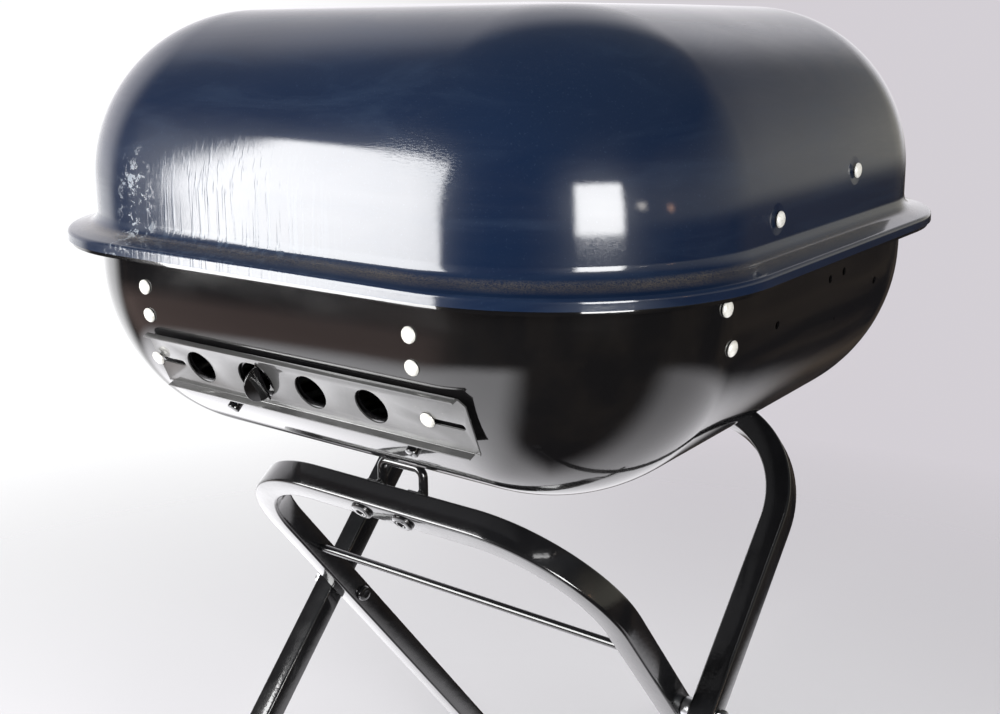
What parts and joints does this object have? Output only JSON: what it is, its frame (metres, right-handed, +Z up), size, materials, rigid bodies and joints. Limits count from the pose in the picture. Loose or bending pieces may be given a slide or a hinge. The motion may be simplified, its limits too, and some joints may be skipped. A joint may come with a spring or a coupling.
{
  "type": "portable charcoal grill",
  "caption": "Square charcoal grill: navy domed hood on a black bowl with sliding dampers, on a folding stand of two crossed square-tube loops.",
  "frame": {"origin": "on the floor under the middle of the whole object's box", "axes": "+Z up, +X to the right along the face with the front damper (towards the hood's hinge side), +Y to the back"},
  "size_m": [0.5558, 0.5794, 0.7826],
  "materials": {
    "hood_enamel": "glossy navy porcelain enamel with a fine fleck and light haze",
    "bowl_enamel": "glossy black porcelain enamel",
    "damper_enamel": "glossy black enamel, dulled by dust, with bright worn edges",
    "stand_paint": "glossy black powder coat on square tube",
    "rivet_enamel": "dull off-white plated rivet heads",
    "zinc_steel": "zinc-plated steel",
    "grid_chrome": "bright plated wire",
    "black_plastic": "fine-grained black moulding"
  },
  "bodies": {
    "bowl": {"bowl_shell": "bowl_enamel", "front_damper_rivet_left": "rivet_enamel", "front_damper_rivet_right": "rivet_enamel", "rear_damper_rivet_left": "rivet_enamel", "rear_damper_rivet_right": "rivet_enamel", "front_grid_bracket_a": "zinc_steel", "front_grid_bracket_b": "zinc_steel", "rear_grid_bracket_a": "zinc_steel", "rear_grid_bracket_b": "zinc_steel", "right_side_bracket": "zinc_steel", "left_side_bracket": "zinc_steel", "front_grid_rivet_a": "rivet_enamel", "front_grid_rivet_b": "rivet_enamel", "front_grid_rivet_c": "rivet_enamel", "front_grid_rivet_d": "rivet_enamel", "rear_grid_rivet_a": "rivet_enamel", "rear_grid_rivet_b": "rivet_enamel", "rear_grid_rivet_c": "rivet_enamel", "rear_grid_rivet_d": "rivet_enamel", "right_side_rivet_a": "rivet_enamel", "right_side_rivet_b": "rivet_enamel", "left_side_rivet_a": "rivet_enamel", "left_side_rivet_b": "rivet_enamel", "rear_clamp_left": "zinc_steel", "rear_clamp_right": "zinc_steel", "clamp_rivet_left_a": "rivet_enamel", "clamp_rivet_left_b": "rivet_enamel", "clamp_rivet_right_a": "rivet_enamel", "clamp_rivet_right_b": "rivet_enamel"},
    "hood": {"hood_shell": "hood_enamel", "hood_hook_front": "zinc_steel", "hood_hook_rear": "zinc_steel", "hood_rivet_front": "rivet_enamel", "hood_rivet_rear": "rivet_enamel", "hood_handle_grip": "black_plastic", "hood_handle_post_front": "zinc_steel", "hood_handle_post_rear": "zinc_steel", "hood_handle_screw_front": "zinc_steel", "hood_handle_screw_rear": "zinc_steel"},
    "front_damper": {"front_damper_plate": "damper_enamel"},
    "rear_damper": {"rear_damper_plate": "damper_enamel"},
    "cooking_grid": {"cooking_grid": "grid_chrome"},
    "charcoal_grate": {"charcoal_grate": "zinc_steel"},
    "rear_leg_loop": {"stand_loop_rear": "stand_paint", "foot_rear_loop_left": "black_plastic", "foot_rear_loop_right": "black_plastic"},
    "front_leg_loop": {"stand_loop_front": "stand_paint", "stand_cross_rod": "stand_paint", "foot_front_loop_left": "black_plastic", "foot_front_loop_right": "black_plastic", "pivot_bolt_left": "stand_paint", "pivot_bolt_right": "stand_paint", "pivot_spacer_left": "zinc_steel", "pivot_spacer_right": "zinc_steel", "pivot_nut_left": "zinc_steel", "pivot_nut_right": "zinc_steel", "front_saddle": "stand_paint", "saddle_screw_left": "stand_paint", "saddle_screw_right": "stand_paint"}
  },
  "joints": [
    {"name": "hood_hinge", "type": "hinge", "parent": "bowl", "child": "hood", "pos_m": [0.2779, 0.03389, 0.6333], "axis": [0, 1, 0], "range_deg": [0, 95]},
    {"name": "front_damper_slide", "type": "slide", "parent": "bowl", "child": "front_damper", "axis": [-1, 0, 0], "range_m": [0, 0.024]},
    {"name": "rear_damper_slide", "type": "slide", "parent": "bowl", "child": "rear_damper", "axis": [1, 0, 0], "range_m": [0, 0.024]},
    {"name": "cooking_grid_lift", "type": "slide", "parent": "bowl", "child": "cooking_grid", "axis": [0, 0, 1], "range_m": [0, 0.04]},
    {"name": "charcoal_grate_lift", "type": "slide", "parent": "bowl", "child": "charcoal_grate", "axis": [0, 0, 1], "range_m": [0, 0.05]},
    {"name": "rear_loop_fold", "type": "hinge", "parent": "bowl", "child": "rear_leg_loop", "pos_m": [0.0209, 0.17408, 0.47207], "axis": [1, 0, 0], "range_deg": [0, 43.44]},
    {"name": "leg_scissor", "type": "hinge", "parent": "rear_leg_loop", "child": "front_leg_loop", "pos_m": [0.0209, 0.01559, 0.3047], "axis": [1, 0, 0], "range_deg": [-81.74, 0]}
  ],
  "couplings": [
    {"joint": "leg_scissor", "follows": "rear_loop_fold", "ratio": -1.8771}
  ]
}
